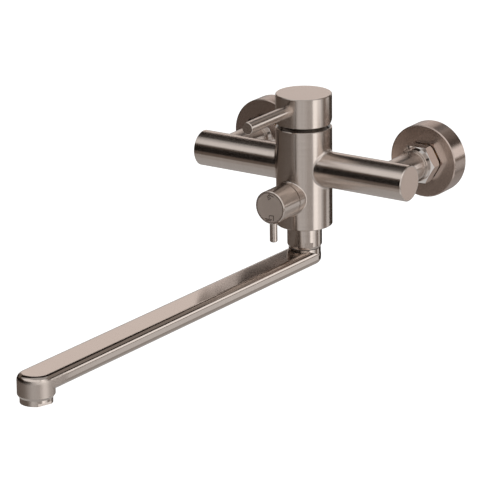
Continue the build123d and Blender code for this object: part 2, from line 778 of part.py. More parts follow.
# Diverter knob, hollow behind, with a recess in front for the index disc over its screw
flange_pocket = boss_reach + valve_flange + free_gap
neck_pocket = valve_front + free_gap
screw_seat = spindle_front + knob_web
index_r = knob_r - index_disc_wall
index_back = knob_front - index_disc_thickness
pin_seat_z = knob_r - diverter_pin_seat
pin_spigot_z = pin_seat_z - diverter_pin_spigot
with BuildPart() as diverter_knob:
    turned(diverter_frame, rod(knob_back, knob_front, knob_r, knob_edge))
    turned(diverter_frame, rod(knob_back, flange_pocket, valve_flange_r + free_gap), Mode.SUBTRACT)
    turned(diverter_frame, rod(knob_back, neck_pocket, valve_neck_r + free_gap), Mode.SUBTRACT)
    with BuildSketch(upright(neck_pocket, diverter_z)):
        Rectangle(spindle_square + 2 * push_gap, spindle_square + 2 * push_gap)
    extrude(amount=spindle_front - neck_pocket, mode=Mode.SUBTRACT)
    turned(diverter_frame, rod(spindle_front, knob_front, knob_screw_r + slide_gap), Mode.SUBTRACT)
    turned(diverter_frame, rod(screw_seat, knob_front, knob_screw_head_r + slide_gap), Mode.SUBTRACT)
    turned(diverter_frame, rod(index_back, knob_front, index_r), Mode.SUBTRACT)
    turned(pin_frame, rod(pin_seat_z, knob_r, diverter_pin_r + push_gap), Mode.SUBTRACT)
    turned(pin_frame, rod(pin_spigot_z, knob_r, diverter_pin_spigot_r + push_gap), Mode.SUBTRACT)
save(diverter_knob.part, "diverter_knob")

with BuildPart() as diverter_pin:
    turned(
        pin_frame,
        (
            (pin_spigot_z, 0),
            (pin_spigot_z, diverter_pin_spigot_r),
            (pin_seat_z, diverter_pin_spigot_r),
            (pin_seat_z, diverter_pin_r),
            (diverter_pin_length - diverter_pin_edge, diverter_pin_r),
            (diverter_pin_length, diverter_pin_r - diverter_pin_edge),
            (diverter_pin_length, 0),
        ),
    )
save(diverter_pin.part, "diverter_pin")

with BuildPart() as knob_screw:
    turned(diverter_frame, rod(spindle_front - knob_screw_grip, screw_seat, knob_screw_r))
    turned(diverter_frame, rod(screw_seat, screw_seat + knob_screw_head, knob_screw_head_r))
    with BuildSketch(upright(screw_seat + knob_screw_head, diverter_z)):
        RegularPolygon(knob_screw_r, side_count=6)
    extrude(amount=-knob_screw_head / 2, mode=Mode.SUBTRACT)
save(knob_screw.part, "diverter_knob_screw")

with BuildPart() as index_disc:
    turned(diverter_frame, rod(index_back, knob_front, index_r - push_gap))
save(index_disc.part, "diverter_index_disc")

# Bushing screwed into the barrel from below, with its visible collar and two spanner flats
bushing_top = barrel_bottom + bushing_thread_length
collar_flat_plane = Plane.XY.rotated((0, 0, collar_flat_turn))
lock_screw_outer = collar_r - free_gap
spigot_groove_r = spigot_r - lock_groove_depth
with BuildPart() as spout_bushing:
    turned(barrel_frame, rod(barrel_bottom, bushing_top, bushing_thread_r - push_gap))
    turned(
        barrel_frame,
        (
            (barrel_bottom, 0),
            (barrel_bottom, collar_r),
            (collar_bottom + 2 * collar_edge, collar_r),
            (collar_bottom, collar_r - collar_edge),
            (collar_bottom, 0),
        ),
    )
    turned(barrel_frame, rod(collar_bottom, bushing_top, spigot_r + run_gap), Mode.SUBTRACT)
    with BuildSketch(Plane(level(collar_bottom).origin, x_dir=collar_flat_plane.x_dir)):
        Rectangle(4 * collar_r, 4 * collar_r)
        Rectangle(4 * collar_r, collar_flats, mode=Mode.SUBTRACT)
    extrude(amount=collar_flat_height, mode=Mode.SUBTRACT)
    turned(lock_frame, rod(0, collar_r, lock_screw_r + push_gap), Mode.SUBTRACT)
save(spout_bushing.part, "spout_bushing")

with BuildPart() as lock_screw:
    turned(lock_frame, rod(spigot_groove_r + free_gap, lock_screw_outer, lock_screw_r))
    with BuildSketch(upright(-lock_screw_outer, barrel_bottom - lock_screw_drop)):
        RegularPolygon(grub_socket_r, side_count=6)
    extrude(amount=lock_groove_depth, mode=Mode.SUBTRACT)
save(lock_screw.part, "spout_lock_screw")

with BuildPart() as bushing_gasket:
    turned(
        barrel_frame,
        tube(bushing_top, bushing_top + gasket_thickness, bushing_thread_r - push_gap, gasket_bore_r),
    )
save(bushing_gasket.part, "spout_bushing_gasket")

with BuildPart() as slip_ring:
    slip_top = collar_bottom - push_gap
    turned(
        barrel_frame,
        tube(
            slip_top - slip_ring_thickness,
            slip_top,
            spigot_r + free_gap + slip_ring_width,
            spigot_r + free_gap,
        ),
    )
save(slip_ring.part, "spout_slip_ring")

# Spigot fixed in the spout, with two seal rings and the groove that the lock screw runs in
spigot_top = bushing_top - spigot_top_gap
spigot_bottom = neck_top - spout_socket
ring_groove_half = spigot_ring_section_r + push_gap
ring_groove_r = spigot_r - 2 * spigot_ring_section_r - push_gap
lock_z = barrel_bottom - lock_screw_drop
lock_groove_half = lock_screw_r + free_gap
ring_levels = {"upper": spigot_top - spigot_ring_upper, "lower": spigot_top - spigot_ring_lower}
with BuildPart() as spout_spigot:
    turned(barrel_frame, tube(spigot_bottom, spigot_top, spigot_r, spigot_bore_r))
    for ring_z in ring_levels.values():
        turned(
            barrel_frame,
            tube(ring_z - ring_groove_half, ring_z + ring_groove_half, spigot_r, ring_groove_r),
            Mode.SUBTRACT,
        )
    turned(
        barrel_frame,
        tube(lock_z - lock_groove_half, lock_z + lock_groove_half, spigot_r, spigot_groove_r),
        Mode.SUBTRACT,
    )
save(spout_spigot.part, "spout_spigot")

for ring_name, ring_z in ring_levels.items():
    with BuildPart() as spigot_ring:
        o_ring(barrel_frame, ring_z, spigot_r - spigot_ring_section_r, spigot_ring_section_r)
    save(spigot_ring.part, f"spout_o_ring_{ring_name}")

# Spout: hollow flat arm with rounded edges, a neck under the collar and a nozzle at the tip
nozzle_bottom = spout_height / 2 + nozzle_drop
nozzle_thread_end = nozzle_bottom - nozzle_thread_depth
inner_half = spout_height / 2 - spout_wall
nozzle_rim_r = spout_tip_r - nozzle_chamfer_width
with BuildPart() as waterway:
    with BuildSketch(arm_plane):
        Circle(spout_root_r - spout_wall)
        with Locations((0, -spout_reach)):
            Circle(spout_tip_r - spout_wall)
        make_hull()
    extrude(amount=inner_half, both=True)
    fillet(waterway.faces().filter_by(arm_plane).edges(), spout_edge - spout_wall)

with BuildPart() as spout_arm:
    with BuildSketch(arm_plane):
        Circle(spout_root_r)
        with Locations((0, -spout_reach)):
            Circle(spout_tip_r)
        make_hull()
    extrude(amount=spout_height / 2, both=True)
    fillet(spout_arm.faces().filter_by(arm_plane).edges(), spout_edge)
    turned(barrel_frame, rod(arm_z, neck_top, spout_neck_r))
    turned(
        tip_frame,
        (
            (0, 0),
            (0, spout_tip_r),
            (nozzle_bottom - nozzle_chamfer_height, spout_tip_r),
            (nozzle_bottom, nozzle_rim_r),
            (nozzle_bottom, 0),
        ),
    )
    add(waterway.part, mode=Mode.SUBTRACT)
    turned(barrel_frame, rod(spigot_bottom, neck_top, spigot_r + push_gap + spout_socket_wall))
    turned(barrel_frame, rod(spigot_bottom, neck_top, spigot_r + push_gap), Mode.SUBTRACT)
    turned(tip_frame, rod(nozzle_thread_end, nozzle_bottom, aerator_thread_r + push_gap), Mode.SUBTRACT)
    turned(tip_frame, rod(0, nozzle_bottom, nozzle_bore_r), Mode.SUBTRACT)
save(spout_arm.part, "spout_arm")

# Aerator screwed into the nozzle: shell with two spanner flats, honeycomb insert and rubber gasket
aerator_top = nozzle_thread_end + aerator_gasket
aerator_bottom = nozzle_bottom + aerator_height
insert_r = aerator_thread_r - aerator_wall
lip_r = insert_r - aerator_lip
flat_plane = tip_plane.offset(-aerator_bottom)
flat_direction = Vector(1, 0, 0).rotate(Axis.Z, aerator_flat_turn)
with BuildPart() as aerator_shell:
    turned(tip_frame, rod(aerator_top, nozzle_bottom, aerator_thread_r))
    turned(tip_frame, rod(nozzle_bottom, aerator_bottom, aerator_r))
    with BuildSketch(Plane(flat_plane.origin, x_dir=flat_direction, z_dir=flat_plane.z_dir)):
        Rectangle(4 * aerator_r, 4 * aerator_r)
        Rectangle(4 * aerator_r, aerator_flats, mode=Mode.SUBTRACT)
    extrude(amount=aerator_flat_height, mode=Mode.SUBTRACT)
    turned(tip_frame, rod(aerator_top, aerator_bottom - aerator_lip, insert_r), Mode.SUBTRACT)
    turned(tip_frame, rod(aerator_top, aerator_bottom, lip_r), Mode.SUBTRACT)
save(aerator_shell.part, "aerator_shell")

insert_bottom = aerator_bottom - aerator_lip
hole_field_r = lip_r - 2 * insert_hole_r
hole_steps = range(-int(lip_r // insert_pitch), int(lip_r // insert_pitch) + 1)
hole_grid = [(insert_pitch * across, insert_pitch * along) for across in hole_steps for along in hole_steps]
hole_places = [place for place in hole_grid if hypot(*place) < hole_field_r]
with BuildPart() as aerator_insert:
    turned(tip_frame, rod(insert_bottom - insert_height, insert_bottom, insert_r - push_gap))
    with BuildSketch(tip_plane.offset(-insert_bottom)):
        with Locations(*hole_places):
            Circle(insert_hole_r)
    extrude(amount=insert_height, mode=Mode.SUBTRACT)
save(aerator_insert.part, "aerator_insert")

with BuildPart() as aerator_seal:
    turned(tip_frame, tube(nozzle_thread_end, aerator_top, aerator_thread_r, lip_r))
save(aerator_seal.part, "aerator_gasket")
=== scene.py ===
# %% [markdown]
# # A wall mounted bath mixer in satin steel
#
# The solids of the mixer come from CAD and stay where they are. This lesson gives them the looks of the real object:
# a camera, a studio, one finish for each way a piece was worked, and the small details that are only a skin.
# Everything is in metres. +X is right as seen from the room, +Y goes into the wall and +Z is up.

# %% Load the frame
import bpy
import json
from math import asin, atan2, cos, degrees, radians, sin
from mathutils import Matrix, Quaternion, Vector


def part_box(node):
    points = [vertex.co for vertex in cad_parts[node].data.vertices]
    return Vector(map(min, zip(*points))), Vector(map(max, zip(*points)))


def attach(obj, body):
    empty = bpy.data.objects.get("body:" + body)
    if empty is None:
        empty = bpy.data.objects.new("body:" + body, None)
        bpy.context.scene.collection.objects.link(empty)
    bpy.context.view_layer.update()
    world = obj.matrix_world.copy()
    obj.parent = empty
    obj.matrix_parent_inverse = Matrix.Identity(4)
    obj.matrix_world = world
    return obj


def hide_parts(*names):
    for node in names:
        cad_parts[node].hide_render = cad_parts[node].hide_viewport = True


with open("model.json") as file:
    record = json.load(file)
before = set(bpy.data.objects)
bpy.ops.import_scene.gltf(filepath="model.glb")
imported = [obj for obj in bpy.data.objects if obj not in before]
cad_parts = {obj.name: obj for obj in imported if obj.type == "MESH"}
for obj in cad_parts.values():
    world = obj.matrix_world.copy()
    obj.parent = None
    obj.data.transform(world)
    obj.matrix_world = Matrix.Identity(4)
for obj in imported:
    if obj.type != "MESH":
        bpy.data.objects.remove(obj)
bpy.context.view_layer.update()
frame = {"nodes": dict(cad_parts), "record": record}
nodes = frame["nodes"]
bpy.ops.object.select_all(action="DESELECT")

# %% [markdown]
# ## Camera
#
# The view is from the right, a little above, with a long lens, so lines stay almost parallel. The place, the lens
# and the slight tilt were worked out from the outlines of the bar, the barrel and the spout. A camera could also be
# aimed with a constraint, but plain numbers keep the view fixed.

# %% Camera
view_azimuth = radians(34.1)
view_elevation = radians(18.26)
view_roll = radians(-0.84)
view_distance = 2.25122
view_depth = 50.0
view_target = Vector((-0.06209, -0.075, -0.06525))
lens_length, sensor_width = 207.74, 36.0  # millimetres

level_share = cos(view_elevation)
towards_camera = Vector(
    (sin(view_azimuth) * level_share, -cos(view_azimuth) * level_share, sin(view_elevation))
)
bpy.ops.object.camera_add(location=view_target + towards_camera * view_distance)
camera = bpy.context.object
camera.name = "photo_camera"
camera.rotation_mode = "QUATERNION"
aim = (-towards_camera).to_track_quat("-Z", "Y")
camera.rotation_quaternion = aim @ Quaternion((0, 0, 1), view_roll)
camera.data.sensor_width = sensor_width
camera.data.lens = lens_length
camera.data.clip_end = view_depth
bpy.context.scene.camera = camera
bpy.context.scene.view_settings.view_transform = "Standard"
print("camera at", [round(x, 3) for x in camera.location])

# %% [markdown]
# ## Helpers for node trees
#
# A material is a small graph. Its nodes could be added and joined one line at a time, but that hides the idea behind
# the wiring. One helper adds a node, sets its values and joins its inputs, and the others name the kinds that are
# used most, so that each material below reads as a list of steps.

# %% Node helpers
def put(tree, kind, inputs=None, **settings):
    """Add a node, with its settings, and join or set its inputs."""
    node = tree.nodes.new(kind)
    for key, value in settings.items():
        setattr(node, key, value)
    for key, value in (inputs or {}).items():
        if isinstance(value, bpy.types.NodeSocket):
            tree.links.new(value, node.inputs[key])
        else:
            node.inputs[key].default_value = value
    return node


def math_node(tree, operation, first, second=0.0):
    """A Math node's result."""
    return put(tree, "ShaderNodeMath", {0: first, 1: second}, operation=operation).outputs[0]


def vector_node(tree, operation, first, second=(0, 0, 0), output="Vector"):
    """A Vector Math node's vector, or its value."""
    return put(tree, "ShaderNodeVectorMath", {0: first, 1: second}, operation=operation).outputs[output]


def remap(tree, value, source=(0.0, 1.0), target=(0.0, 1.0)):
    """A value moved from one range to another, and kept inside it."""
    inputs = {"Value": value, "From Min": source[0], "From Max": source[1], "To Min": target[0], "To Max": target[1]}
    return put(tree, "ShaderNodeMapRange", inputs).outputs["Result"]


def between(tree, factor, first, second, data_type="RGBA"):
    """A colour or vector between two others."""
    inputs = {"Factor": factor, "A": first, "B": second}
    return put(tree, "ShaderNodeMix", inputs, data_type=data_type).outputs["Result"]


print("node helpers are ready")


# %% Material helpers
def new_material(name):
    """A node material, its tree and its Principled BSDF."""
    material = bpy.data.materials.new(name)
    material.use_nodes = True
    return material, material.node_tree, material.node_tree.nodes["Principled BSDF"]


def join_surface(tree, shader):
    """Join a shader to the material's surface."""
    tree.links.new(shader.outputs[0], tree.nodes["Material Output"].inputs["Surface"])


def dress(material, *names):
    """Give CAD nodes one material."""
    for name in names:
        mesh = nodes[name].data
        mesh.materials.clear()
        mesh.materials.append(material)
    print(material.name, "on", ", ".join(names))


print("material helpers are ready")

# %% [markdown]
# ## Studio
#
# Metal shows what stands around it, so the studio is the most important part of the look. The mixer hangs over a pale
# table, with a soft box above the front and a tall strip light on the right. The room on the left is dark, and a
# sheet of warm paper stands behind the left side. One way is to hang a card for each of these. Here one large ball
# around the object carries them all as brightness on its points, which gives soft edges. Only reflections see it.

# %% Screens
# From and to azimuth, from and to elevation, in degrees, and brightness. Azimuth 0 is in front of the mixer, 90 is
# on its right and 180 is behind it. Later rows lie over earlier ones.
screens = (
    # the room, and the table close to the mixer
    (-180, 180, -90, 90, 0.50),
    (-180, 180, -42, -25, 0.42),
    (-10, 68, -42, -25, 0.60),
    # the table further off, brightest in the middle
    (-120, -20, -25, -9, 0.13),
    (-20, -8, -25, -9, 0.26),
    (-8, 2, -25, -9, 0.46),
    (2, 24, -25, -9, 0.72),
    (24, 36, -25, -9, 0.58),
    (36, 48, -25, -9, 0.40),
    (48, 68, -25, -9, 0.26),
    # the dark room on the left, and the bright one beside the strip light
    (-130, 8, -9, 20, 0.01),
    (-130, 8, 20, 31, 0.10),
    (-125, -85, 8, 30, 0.18),
    (8, 30, -9, 33, 0.60),
    (30, 68, -9, 33, 0.95),
    # the soft box, and the dark ceiling on the left of it
    (-20, 68, 33, 66, 1.10),
    (-60, -20, 31, 66, 1.00),
    (-85, -60, 33, 66, 0.50),
    (-180, -85, 30, 66, 0.015),
    # behind, on the right
    (118, 180, -25, 18, 0.25),
    (136, 156, -25, -9, 0.80),
    (156, 180, -25, -9, 0.04),
    (132, 156, -2, 15, 1.40),
    (118, 180, 17, 28, 0.02),
    (118, 180, 28, 50, 0.30),
    # behind, on the left, with the paper last
    (-180, -120, -25, -4, 0.25),
    (-180, -140, -25, -9, 0.04),
    (-180, -120, -4, 8, 0.50),
    (-165, -125, 8, 31, 0.90),
    # the strip light, which fades to the back
    (72, 92, -42, 55, 1.50),
    (92, 108, -42, 55, 1.10),
    (108, 118, -42, 55, 0.60),
)
paper = (-170, -120, 5, 34)  # where the bright colour is the paper's
print("screens:", len(screens))


# %% Studio ball
studio_centre = Vector((0.0, -0.15, 0.0))
studio_radius = 3.0
studio_columns, studio_rows = 180, 90


def covers(area, azimuth, elevation):
    """Whether a direction lies in an area of the ball."""
    return area[0] <= azimuth <= area[1] and area[2] <= elevation <= area[3]


def look_at_studio(direction):
    """Brightness of the studio in one direction, and whether the paper is there."""
    azimuth = degrees(atan2(direction.x, -direction.y))
    elevation = degrees(asin(max(-1.0, min(1.0, direction.z))))
    levels = [screen[4] for screen in screens if covers(screen, azimuth, elevation)]
    top_level = levels[-1]
    return top_level, float(covers(paper, azimuth, elevation))


bpy.ops.mesh.primitive_uv_sphere_add(
    segments=studio_columns, ring_count=studio_rows, radius=studio_radius, location=studio_centre
)
studio = bpy.context.object
studio.name = "studio_ball"
screen_levels = studio.data.attributes.new("screen_level", "FLOAT", "POINT")
paper_places = studio.data.attributes.new("warm_paper", "FLOAT", "POINT")
for number, vertex in enumerate(studio.data.vertices):
    level, on_paper = look_at_studio(vertex.co.normalized())
    screen_levels.data[number].value = level
    paper_places.data[number].value = on_paper
print("studio ball of", len(studio.data.vertices), "points")


# %% Studio paint
dim_colour = (1.0, 0.72, 0.54, 1)
bright_colour = (1.0, 1.0, 1.0, 1)
paper_colour = (1.0, 0.91, 0.865, 1)
bright_level = 0.5  # from here on, a screen has its bright colour


def only_reflected(thing):
    """Hide a piece of the studio from all but reflections."""
    thing.visible_camera = False
    thing.visible_diffuse = False
    thing.visible_transmission = False
    thing.visible_shadow = False


studio_paint, tree, shader = new_material("studio_paint")
tree.nodes.remove(shader)
level = put(tree, "ShaderNodeAttribute", attribute_name="screen_level").outputs["Fac"]
on_paper = put(tree, "ShaderNodeAttribute", attribute_name="warm_paper").outputs["Fac"]
full_colour = between(tree, on_paper, bright_colour, paper_colour)
colour = between(tree, remap(tree, level, source=(0.0, bright_level)), dim_colour, full_colour)
join_surface(tree, put(tree, "ShaderNodeEmission", {"Color": colour, "Strength": level}))
studio.data.materials.append(studio_paint)
only_reflected(studio)
print("studio painted with", studio_paint.name)

# %% [markdown]
# ## Dark flag
#
# Photographers set small black flags where a bright reflection would flatten a surface. Here one hangs behind the
# left flange, and darkens the root of the spout's flat top along a slanted edge. It could be one more screen on the
# ball, but only something near the object darkens one end of the spout alone. It is a plane with one corner moved.


# %% Mesh helpers
def fresh_start():
    """Leave edit mode and forget the last selection."""
    if bpy.context.object and bpy.context.object.mode == "EDIT":
        bpy.ops.object.mode_set(mode="OBJECT")
    bpy.ops.object.select_all(action="DESELECT")


def apply_place():
    """Put the place, turn and scale of the selected objects into their meshes."""
    bpy.ops.object.transform_apply(location=True, rotation=True, scale=True)


def select_where(piece, kind, wanted):
    """Go to edit mode, with only the points or faces selected that pass a test."""
    bpy.ops.object.mode_set(mode="EDIT")
    bpy.ops.mesh.select_mode(type=kind)
    bpy.ops.mesh.select_all(action="DESELECT")
    bpy.ops.object.mode_set(mode="OBJECT")
    elements = piece.data.vertices if kind == "VERT" else piece.data.polygons
    for element in elements:
        element.select = wanted(element)
    bpy.ops.object.mode_set(mode="EDIT")


print("mesh helpers are ready")

# %% Dark flag
flag_low, flag_high = Vector((-0.186, -0.0175, 0.0245)), Vector((-0.140, 0.195, 0.0245))
flag_slant = 0.200
flag_corner_size = 0.001  # how near a point is to the corner that moves

fresh_start()
bpy.ops.mesh.primitive_plane_add(size=1.0, location=(flag_low + flag_high) / 2)
flag = bpy.context.object
flag.name = "dark_flag"
flag.scale = (flag_high.x - flag_low.x, flag_high.y - flag_low.y, 1.0)
apply_place()
select_where(flag, "VERT", lambda vertex: (vertex.co - flag_low).length < flag_corner_size)
bpy.ops.transform.translate(value=(0, flag_slant, 0))
bpy.ops.object.mode_set(mode="OBJECT")
flag_cloth, tree, shader = new_material("black_flag")
shader.inputs["Base Color"].default_value = (0.01, 0.01, 0.01, 1)
shader.inputs["Roughness"].default_value = 0.9
flag.data.materials.append(flag_cloth)
only_reflected(flag)
print("dark flag of", len(flag.data.vertices), "corners")

# %% [markdown]
# ## Floor, world and lamps
#
# The floor is a plain pale sheet well below the object, so that no shadow comes into the picture. A white backdrop
# could stand behind the object, but the world does the same with less: it is white to the camera and to reflections,
# and gives the rest of the scene an even light. For the camera, the floor is topped up to the same white. Two soft
# lamps light the plastic and rubber pieces, which show no reflections.

# %% Floor
floor_size = 60.0
floor_height = -3.2
floor_colour = (0.85, 0.85, 0.85, 1)
floor_top_up = 0.7


def seen_directly(tree):
    """One for rays from the camera, from reflections and through glass."""
    path = put(tree, "ShaderNodeLightPath")
    glossy = math_node(tree, "MAXIMUM", path.outputs["Is Camera Ray"], path.outputs["Is Glossy Ray"])
    return math_node(tree, "MAXIMUM", glossy, path.outputs["Is Transmission Ray"])


bpy.ops.mesh.primitive_plane_add(size=floor_size, location=(0, 0, floor_height))
floor = bpy.context.object
floor.name = "studio_floor"
floor_paint, tree, shader = new_material("pale_floor")
tree.nodes.remove(shader)
matt = put(tree, "ShaderNodeBsdfDiffuse", {"Color": floor_colour})
extra = math_node(tree, "MULTIPLY", seen_directly(tree), floor_top_up)
top_up = put(tree, "ShaderNodeEmission", {"Strength": extra})
join_surface(tree, put(tree, "ShaderNodeAddShader", {0: matt.outputs[0], 1: top_up.outputs[0]}))
floor.data.materials.append(floor_paint)
print("floor at", floor_height)

# %% World
world_light = 0.55
world_seen = 1.0

world = bpy.data.worlds.new("studio_world")
bpy.context.scene.world = world
world.use_nodes = True
tree = world.node_tree
strength = remap(tree, seen_directly(tree), target=(world_light, world_seen))
tree.links.new(strength, tree.nodes["Background"].inputs["Strength"])
tree.nodes["Background"].inputs["Color"].default_value = (1, 1, 1, 1)
print("world:", world.name)

# %% Lamps
lamp_size = 0.9
lamps = (("right_lamp", (1.3, -1.0, 0.9), 18.0), ("left_lamp", (-1.1, -1.2, 1.2), 12.0))  # name, place, power

for name, place, power in lamps:
    bpy.ops.object.light_add(type="AREA", location=place)
    lamp = bpy.context.object
    lamp.name = name
    lamp.data.shape = "DISK"
    lamp.data.size = lamp_size
    lamp.data.energy = power
    lamp.rotation_mode = "QUATERNION"
    lamp.rotation_quaternion = (studio_centre - lamp.location).to_track_quat("-Z", "Y")
    lamp.visible_glossy = False
print("lamps:", len(lamps))

# %% [markdown]
# ## Brush lines
#
# All round pieces were ground while they turned, so fine lines run around them, and around their end faces as rings.
# The lines are far too fine to model. A noise that is very dense along the axis and slow around it gives such lines.
# Because the barrel, the bars and the knob each have their own axis, the pattern is a node group with the axis and a
# point on it as inputs. The flat spout was ground across its length instead, and has a group of its own.


# %% Brush group helpers
def brush_group(name, inputs):
    """A node group with its sockets: given vectors in, fine lines and wider bands out."""
    group = bpy.data.node_groups.new(name, "ShaderNodeTree")
    for key in inputs:
        group.interface.new_socket(key, in_out="INPUT", socket_type="NodeSocketVector")
    for key in ("Line", "Band"):
        group.interface.new_socket(key, in_out="OUTPUT", socket_type="NodeSocketFloat")
    return group, put(group, "NodeGroupInput"), put(group, "NodeGroupOutput")


def scaled(tree, vector, scale):
    """A vector times a number."""
    return put(tree, "ShaderNodeVectorMath", {0: vector, "Scale": scale}, operation="SCALE").outputs["Vector"]


def grain_noise(tree, vector, detail):
    """A noise between 0 and 1."""
    inputs = {"Vector": vector, "Scale": 1.0, "Detail": detail, "Roughness": 0.6}
    return put(tree, "ShaderNodeTexNoise", inputs).outputs["Fac"]


print("brush group helpers are ready")

# %% Turned brush
turned_scales = (("Line", 3600.0, 1.1, 3.0), ("Band", 700.0, 0.5, 2.0))  # along the axis, around it, detail

turned_brush, given, result = brush_group("turned_brush", ("Position", "Axis", "Centre"))
axis = given.outputs["Axis"]
offset = vector_node(turned_brush, "SUBTRACT", given.outputs["Position"], given.outputs["Centre"])
along = vector_node(turned_brush, "DOT_PRODUCT", offset, axis, output="Value")
sideways = vector_node(turned_brush, "SUBTRACT", offset, scaled(turned_brush, axis, along))
radius = vector_node(turned_brush, "LENGTH", sideways, output="Value")
around = vector_node(turned_brush, "NORMALIZE", sideways)
travel = math_node(turned_brush, "ADD", along, radius)
for key, density, slow, detail in turned_scales:
    fast = scaled(turned_brush, axis, math_node(turned_brush, "MULTIPLY", travel, density))
    pattern = vector_node(turned_brush, "ADD", fast, scaled(turned_brush, around, slow))
    turned_brush.links.new(grain_noise(turned_brush, pattern, detail), result.inputs[key])
print("group", turned_brush.name, "of", len(turned_brush.nodes), "nodes")

# %% Straight brush
straight_scales = (("Line", (15.0, 3000.0, 15.0), 3.0), ("Band", (6.0, 600.0, 6.0), 2.0))  # x, y and z, detail

straight_brush, given, result = brush_group("straight_brush", ("Position",))
for key, squeeze, detail in straight_scales:
    pattern = vector_node(straight_brush, "MULTIPLY", given.outputs["Position"], squeeze)
    straight_brush.links.new(grain_noise(straight_brush, pattern, detail), result.inputs[key])
print("group", straight_brush.name, "of", len(straight_brush.nodes), "nodes")

# %% [markdown]
# ## How each piece was ground
#
# A finish needs two things from the grinding: the pattern of the lines, and their direction at each point. Bars,
# flanges, lever and knob have one axis. The mixer body has three: the barrel, and where the surface lies outside the
# barrel's radius, the necks to the bars on the sides and the boss of the knob in front. On the spout the lines run
# straight across its top and stand upright on its sides and around its tip. A UV map could carry the direction too,
# but it follows from each point's place and normal, so a few nodes work it out.

# %% Around one axis
end_face_limit = 0.9  # of the normal along the axis
along_x, along_y, along_z = (1.0, 0.0, 0.0), (0.0, 1.0, 0.0), (0.0, 0.0, 1.0)


def turned_about(axis, centre):
    """Lines around one axis through a point, and straight over the end faces."""
    def lines(tree, place):
        inputs = {"Position": place.outputs["Object"], "Axis": axis, "Centre": centre}
        brush = put(tree, "ShaderNodeGroup", inputs, node_tree=turned_brush)
        offset = vector_node(tree, "SUBTRACT", place.outputs["Object"], centre)
        around = vector_node(tree, "CROSS_PRODUCT", axis, offset)
        parts = put(tree, "ShaderNodeSeparateXYZ", {0: axis}).outputs
        swapped = {"X": parts["Y"], "Y": parts["Z"], "Z": parts["X"]}
        straight = put(tree, "ShaderNodeCombineXYZ", swapped).outputs[0]
        facing = vector_node(tree, "DOT_PRODUCT", place.outputs["Normal"], axis, output="Value")
        end_face = math_node(tree, "GREATER_THAN", math_node(tree, "ABSOLUTE", facing), end_face_limit)
        return brush, between(tree, end_face, around, straight, data_type="VECTOR")
    return lines


print("lines around one axis are ready")

# %% Mixer body
barrel_centre = (0.0, -0.0745, 0.0)
barrel_radius = 0.0224
barrel_margin = 0.0003
bar_height = 0.008
knob_height = -0.0142


def turned_body(tree, place):
    """Lines around the barrel, the two necks and the boss."""
    offset = vector_node(tree, "SUBTRACT", place.outputs["Object"], barrel_centre)
    flat = vector_node(tree, "MULTIPLY", offset, (1, 1, 0))
    radius = vector_node(tree, "LENGTH", flat, output="Value")
    outside = math_node(tree, "GREATER_THAN", radius, barrel_radius + barrel_margin)
    sides = put(tree, "ShaderNodeSeparateXYZ", {0: vector_node(tree, "ABSOLUTE", offset)}).outputs
    neck = math_node(tree, "MULTIPLY", outside, math_node(tree, "GREATER_THAN", sides["X"], sides["Y"]))
    boss = math_node(tree, "SUBTRACT", outside, neck)
    barrel = math_node(tree, "SUBTRACT", 1.0, outside)
    neck_height = math_node(tree, "MULTIPLY", neck, bar_height)
    boss_height = math_node(tree, "MULTIPLY", boss, knob_height)
    height = math_node(tree, "ADD", neck_height, boss_height)
    axis = put(tree, "ShaderNodeCombineXYZ", {"X": neck, "Y": boss, "Z": barrel}).outputs[0]
    centre = put(tree, "ShaderNodeCombineXYZ", {"Y": barrel_centre[1], "Z": height}).outputs[0]
    return turned_about(axis, centre)(tree, place)


print("lines of the mixer body are ready")


# %% Spout
def ground_across(tree, place):
    """Lines across the spout, and upright on its sides and tip."""
    brush = put(tree, "ShaderNodeGroup", {"Position": place.outputs["Object"]}, node_tree=straight_brush)
    normal = put(tree, "ShaderNodeSeparateXYZ", {0: place.outputs["Normal"]}).outputs
    left = math_node(tree, "LESS_THAN", normal["X"], 0.0)
    side = math_node(tree, "SUBTRACT", 1.0, math_node(tree, "MULTIPLY", left, 2.0))
    over = vector_node(tree, "CROSS_PRODUCT", place.outputs["Normal"], along_y)
    upright = scaled(tree, along_z, math_node(tree, "ABSOLUTE", normal["Y"]))
    return brush, vector_node(tree, "ADD", scaled(tree, over, side), upright)


print("lines of the spout are ready")

# %% [markdown]
# ## Satin steel
#
# The metal is stainless steel with a satin brush finish: a warm grey, sharp across the brush lines and smeared along
# the piece. A strong bump could smear the reflections too, but it turns to grain from a distance. So the smear is
# the shader's anisotropy, whose direction lies across the lines. The brush lines only vary the colour and the
# roughness a little, and raise a very fine bump.

# %% Colour and roughness
steel_colour = (0.58, 0.507, 0.458)
plain_tone = (1.0, 1.0, 1.0)
tint_spread = 0.10
roughness_spread = 0.04
band_range = (0.3, 0.7)  # where most of the band noise lies
upright_range = (0.6, 0.2)  # upward part of the normal, from a sloping to an upright face


def brushed_tint(tree, brush, tone):
    """The steel's colour, which varies with the lines and bands."""
    both = math_node(tree, "ADD", brush.outputs["Line"], brush.outputs["Band"])
    shades = (
        (*((1 + change) * t * c for t, c in zip(tone, steel_colour)), 1) for change in (-tint_spread, tint_spread)
    )
    return between(tree, math_node(tree, "MULTIPLY", both, 0.5), *shades)


def brushed_roughness(tree, brush, roughness):
    """A roughness that varies with the bands."""
    limits = (roughness * (1 - roughness_spread), roughness * (1 + roughness_spread))
    return remap(tree, brush.outputs["Band"], band_range, limits)


